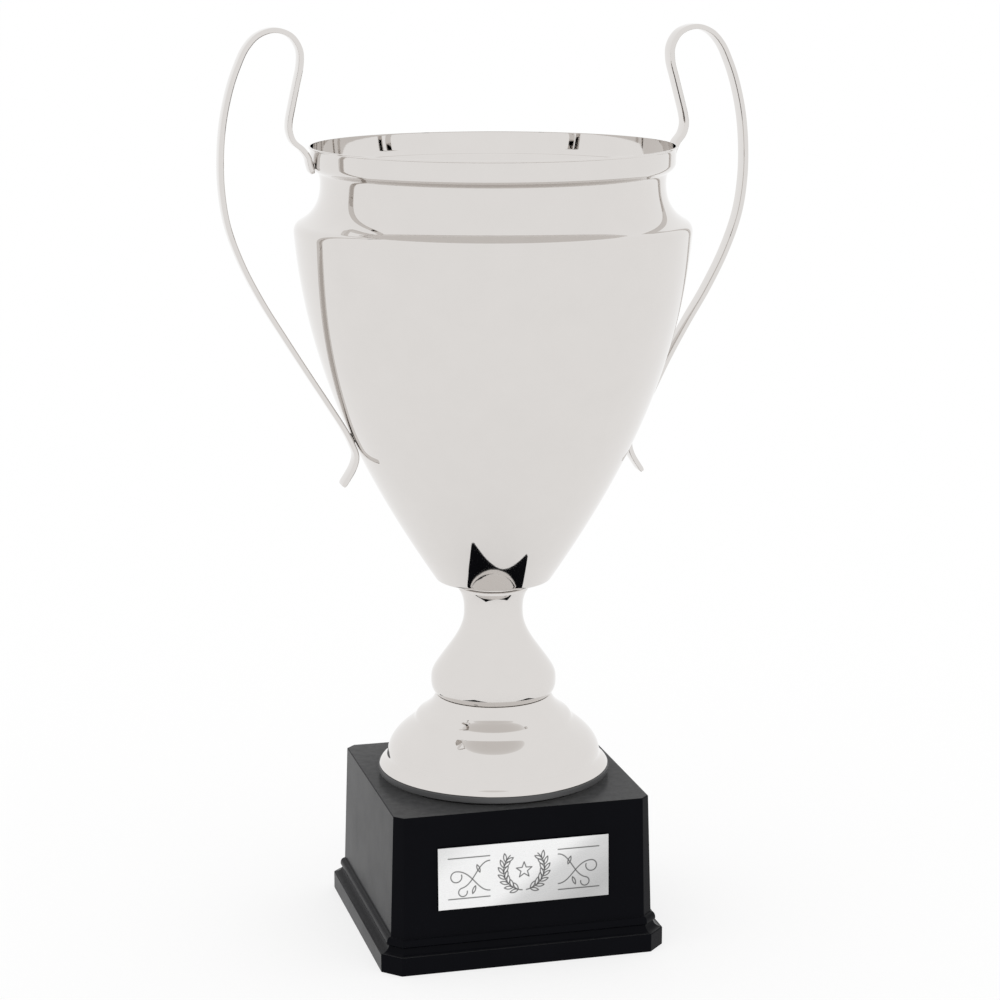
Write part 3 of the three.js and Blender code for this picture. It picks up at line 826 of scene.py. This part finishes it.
MATERIALS = {
    "polished_silver": polished_silver(),
    "black_plastic": black_plastic(),
    "riser_plastic": riser_plastic(),
    "plate_silver": plate_silver(),
    "zinc_steel": zinc_steel(),
    "raw_steel": raw_steel(),
    "white_plastic": speckled("white_plastic", (0.78, 0.77, 0.72), (0.87, 0.86, 0.82), 0.45, 300, 0.00003),
    "gasket_fibre": speckled("gasket_fibre", (0.12, 0.1, 0.09), (0.26, 0.23, 0.2), 0.8, 900, 0.0001),
    "foam_tape": speckled("foam_tape", (0.72, 0.72, 0.68), (0.86, 0.86, 0.82), 0.85, 1800, 0.0001),
    "fibre_board": speckled("fibre_board", (0.2, 0.13, 0.08), (0.4, 0.28, 0.19), 0.85, 700, 0.0001),
    "black_felt": black_felt(),
}


def dress_cad_nodes():
    """Gives every CAD node that still shows the material of its slot in the record."""
    slots = {row["node"]: row["material_slot"] for row in frame["record"]["subparts"]}
    for name, piece in frame["nodes"].items():
        piece.data.materials.clear()
        piece.data.materials.append(MATERIALS[slots[name]])


# ---- Studio ----

def camera():
    data = bpy.data.cameras.new("camera")
    data.sensor_width = 36
    data.lens = CAMERA_LENS
    data.clip_start, data.clip_end = 0.05, 200
    lens = bpy.data.objects.new("camera", data)
    turn = math.radians(CAMERA_AZIMUTH)
    lens.location = (CAMERA_DISTANCE * math.sin(turn), -CAMERA_DISTANCE * math.cos(turn), CAMERA_HEIGHT)
    lens.rotation_euler = (math.radians(90 + CAMERA_PITCH), 0, math.radians(CAMERA_HEADING))
    bpy.context.scene.collection.objects.link(lens)
    bpy.context.scene.camera = lens


def floor():
    mesh = bmesh.new()
    loft(mesh, [circle(40, 0, 96), circle(39, 0, 96)], closed=False)
    mesh.faces.new(list(mesh.verts)[96:])
    data = bpy.data.meshes.new("studio_floor")
    mesh.to_mesh(data)
    mesh.free()
    piece = bpy.data.objects.new("studio_floor", data)
    bpy.context.scene.collection.objects.link(piece)
    tone = (FLOOR_TONE, FLOOR_TONE, FLOOR_TONE)
    material, shader = new_material("studio_floor", tone, 0.8, Emission_Strength=FLOOR_GLOW)
    shader.inputs["Emission Color"].default_value = (1, 1, 1, 1)
    shader.inputs["Specular IOR Level"].default_value = 0
    data.materials.append(material)


def daylight():
    """Even white light from all round, as bright as the floor."""
    world = bpy.data.worlds.new("studio")
    bpy.context.scene.world = world
    world.use_nodes = True
    background = world.node_tree.nodes["Background"]
    background.inputs["Color"].default_value = (1, 1, 1, 1)
    background.inputs["Strength"].default_value = 1


camera()
bpy.context.scene.view_settings.view_transform = "Standard"
daylight()
floor()

dress_cad_nodes()
bowl()
stem()
stem_collar()
foot()
riser()
plinth()
engraving_plate()
handle("handle_left", "left_handle", -1, LEFT_SPREAD)
handle("handle_right", "right_handle", 1, RIGHT_SPREAD)
for which, side in (("left", -1), ("right", 1)):
    solder(f"rim_solder_{which}", side, *RIM_SOLDER)
    solder(f"wall_solder_{which}", side, *WALL_SOLDER)
tie_rod()
hex_nut("cup_nut", "bowl_nut")
hex_nut("plinth_nut", "base_nut")
flat_washer("cup_washer", "bowl_washer", "zinc_steel")
flat_washer("cup_gasket", "bowl_gasket", "gasket_fibre")
flat_washer("plinth_washer", "ballast_washer", "zinc_steel")
